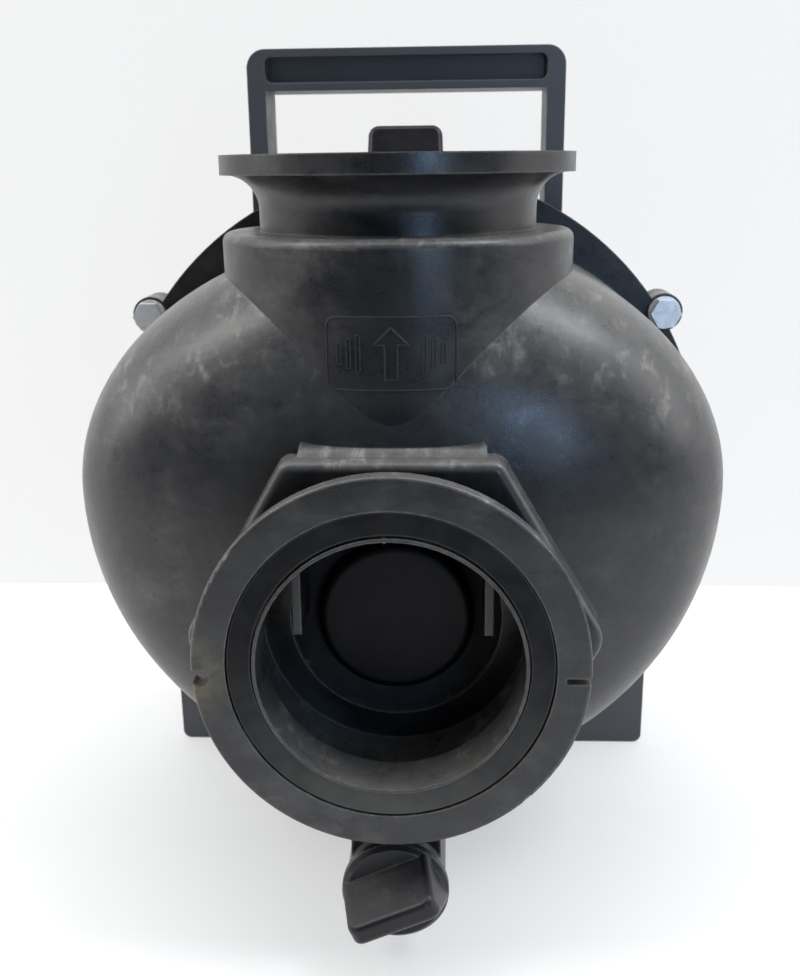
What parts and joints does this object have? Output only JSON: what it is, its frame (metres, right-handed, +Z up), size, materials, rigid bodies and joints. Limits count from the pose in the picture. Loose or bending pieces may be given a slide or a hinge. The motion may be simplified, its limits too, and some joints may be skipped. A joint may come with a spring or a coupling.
{
  "type": "trash pump end",
  "caption": "Moulded black self-priming pump end for a small engine: bowl casing with flanged front and top ports, flap valve, volute, impeller, seal, carry handle and foot.",
  "frame": {"origin": "centre of the suction port's bore at the suction flange's front face", "axes": "-Y out of the suction port, +Y back along the shaft to the engine, +Z up and out of the discharge port, +X to the right seen from the suction side"},
  "size_m": [0.2268, 0.2205, 0.2818],
  "materials": {
    "black_plastic": "satin glass-filled moulding",
    "plug_plastic": "satin moulding",
    "rubber": "matt rubber",
    "zinc_steel": "bright zinc plate",
    "stainless": "machined stainless steel",
    "brass": "knurled brass",
    "carbon": "lapped carbon",
    "ceramic": "lapped ceramic"
  },
  "bodies": {
    "pump": {"front_casing": "black_plastic", "suction_gasket": "rubber", "discharge_gasket": "rubber", "rear_housing": "black_plastic", "casing_ring": "rubber", "casing_bolts": "zinc_steel", "casing_washers": "zinc_steel", "casing_nuts": "zinc_steel", "volute": "black_plastic", "volute_inlet_ring": "rubber", "volute_screws": "stainless", "volute_inserts": "brass", "flapper_pin": "stainless", "seal_seat": "ceramic", "seal_seat_cup": "rubber"},
    "rotor": {"impeller": "black_plastic", "shaft_sleeve": "stainless", "impeller_screw": "stainless", "impeller_washer": "stainless", "seal_retainer": "stainless", "seal_spring": "stainless", "seal_bellows": "rubber", "seal_face": "carbon", "slinger": "rubber"},
    "flap": {"flapper": "rubber", "flapper_front_weight": "black_plastic", "flapper_rear_weight": "stainless", "flapper_rivet": "stainless"},
    "drain_travel": {"drain_ring": "rubber"},
    "drain_screw": {"drain_plug": "plug_plastic"},
    "fill_travel": {"fill_ring": "rubber"},
    "fill_screw": {"fill_plug": "plug_plastic"}
  },
  "joints": [
    {"name": "rotor_spin", "type": "hinge", "parent": "pump", "child": "rotor", "pos_m": [0, 0.15, 0.021], "axis": [0, 1, 0], "continuous": true},
    {"name": "flap_swing", "type": "hinge", "parent": "pump", "child": "flap", "pos_m": [0, 0.051, 0.045], "axis": [1, 0, 0], "range_deg": [0, 35]},
    {"name": "drain_unscrew", "type": "slide", "parent": "pump", "child": "drain_travel", "axis": [0, -1, 0], "range_m": [0, 0.0091]},
    {"name": "drain_turn", "type": "hinge", "parent": "drain_travel", "child": "drain_screw", "pos_m": [0, 0.014, -0.08], "axis": [0, -1, 0], "range_deg": [0, 1080]},
    {"name": "fill_unscrew", "type": "slide", "parent": "pump", "child": "fill_travel", "axis": [0, 0, 1], "range_m": [0, 0.0091]},
    {"name": "fill_turn", "type": "hinge", "parent": "fill_travel", "child": "fill_screw", "pos_m": [0, 0.162, 0.1305], "axis": [0, 0, 1], "range_deg": [0, 1080]}
  ],
  "couplings": [
    {"joint": "drain_unscrew", "follows": "drain_turn", "m_per_rad": 0.00047746},
    {"joint": "fill_unscrew", "follows": "fill_turn", "m_per_rad": 0.00047746}
  ]
}
